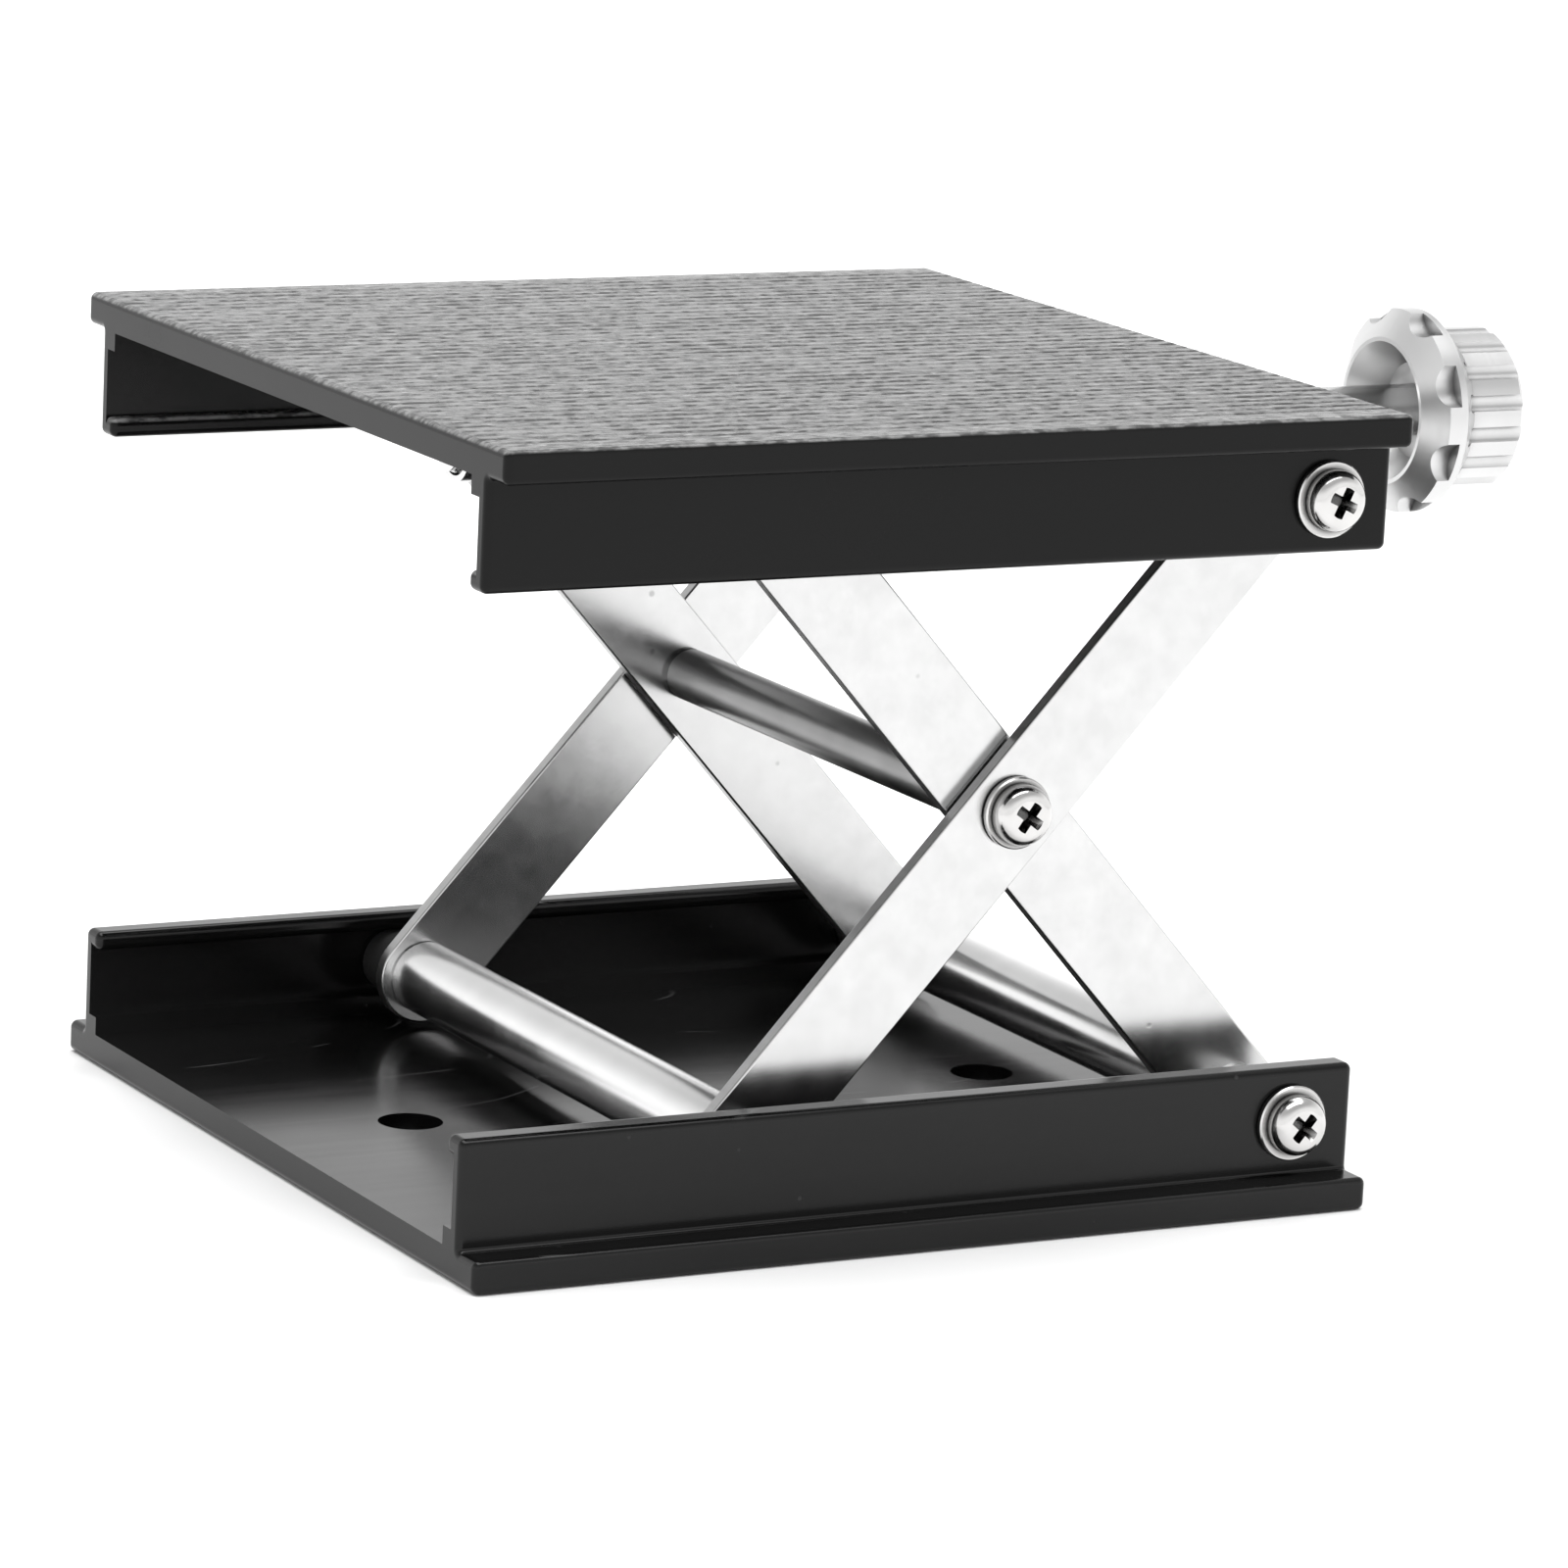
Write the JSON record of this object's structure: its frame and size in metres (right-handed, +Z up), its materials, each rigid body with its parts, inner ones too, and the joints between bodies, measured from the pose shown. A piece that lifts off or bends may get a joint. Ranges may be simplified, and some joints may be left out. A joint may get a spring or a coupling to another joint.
{
  "type": "lab jack",
  "caption": "Scissor lab jack: ribbed square platform on crossed flat arms over a channel base, raised and lowered by a lead screw with a fluted knob.",
  "frame": {"origin": "centre of the base plate on its underside", "axes": "+Z up through the platform, +X along the channel walls toward the knob, +Y across from wall to wall"},
  "size_m": [0.127, 0.09, 0.0752],
  "materials": {
    "black_anodised": "satin",
    "arm_steel": "satin",
    "rod_steel": "polished",
    "plated_steel": "polished",
    "spacer_aluminium": "satin",
    "black_plastic": "satin",
    "screw_steel": "satin",
    "knob_aluminium": "polished",
    "dark_steel": "satin"
  },
  "bodies": {
    "base": {"base_channel": "black_anodised", "lower_fixed_rod": "rod_steel", "lower_spacers": "spacer_aluminium", "base_washers": "plated_steel", "base_screws": "plated_steel"},
    "inner_arms": {"inner_arm_near": "arm_steel", "inner_arm_far": "arm_steel", "centre_rod": "rod_steel", "centre_washers": "plated_steel", "centre_screws": "plated_steel"},
    "outer_arms": {"outer_arm_near": "arm_steel", "outer_arm_far": "arm_steel", "lower_slide_rod": "rod_steel"},
    "platform": {"top_platform": "black_anodised", "upper_fixed_rod": "rod_steel", "upper_spacers": "spacer_aluminium", "platform_washers": "plated_steel", "platform_screws": "plated_steel"},
    "nut": {"nut_rod": "rod_steel"},
    "knob_and_screw": {"lead_screw": "screw_steel", "screw_end_ring": "screw_steel", "thrust_rings": "screw_steel", "knob": "knob_aluminium", "knob_set_screw": "dark_steel"},
    "lower_roller_pair": {"lower_rollers": "black_plastic"},
    "upper_roller_pair": {"upper_rollers": "black_plastic"}
  },
  "joints": [
    {"name": "inner_arm_fold", "type": "hinge", "parent": "base", "child": "inner_arms", "pos_m": [0.0385, 0, 0.0079], "axis": [0, 1, 0], "range_deg": [-10.1, 27.3]},
    {"name": "arm_crossing", "type": "hinge", "parent": "inner_arms", "child": "outer_arms", "pos_m": [0.01244, 0, 0.03665], "axis": [0, 1, 0], "range_deg": [-54.6, 20.2]},
    {"name": "platform_pivot", "type": "hinge", "parent": "outer_arms", "child": "platform", "pos_m": [0.0385, 0, 0.0654], "axis": [0, 1, 0], "range_deg": [-10.1, 27.3]},
    {"name": "nut_pivot", "type": "hinge", "parent": "inner_arms", "child": "nut", "pos_m": [-0.01361, 0, 0.0654], "axis": [0, 1, 0], "range_deg": [-27.3, 10.1]},
    {"name": "knob_turn", "type": "hinge", "parent": "platform", "child": "knob_and_screw", "pos_m": [0.0385, 0, 0.0654], "axis": [-1, 0, 0], "range_deg": [-5000, 13600]},
    {"name": "lower_roller_spin", "type": "hinge", "parent": "outer_arms", "child": "lower_roller_pair", "pos_m": [-0.01361, 0, 0.0079], "axis": [0, 1, 0], "continuous": true},
    {"name": "upper_roller_spin", "type": "hinge", "parent": "nut", "child": "upper_roller_pair", "pos_m": [-0.01361, 0, 0.0654], "axis": [0, 1, 0], "continuous": true}
  ],
  "couplings": [
    {"joint": "inner_arm_fold", "follows": "knob_turn", "ratio": 0.002},
    {"joint": "arm_crossing", "follows": "knob_turn", "ratio": -0.004},
    {"joint": "platform_pivot", "follows": "knob_turn", "ratio": 0.002},
    {"joint": "nut_pivot", "follows": "knob_turn", "ratio": -0.002}
  ]
}
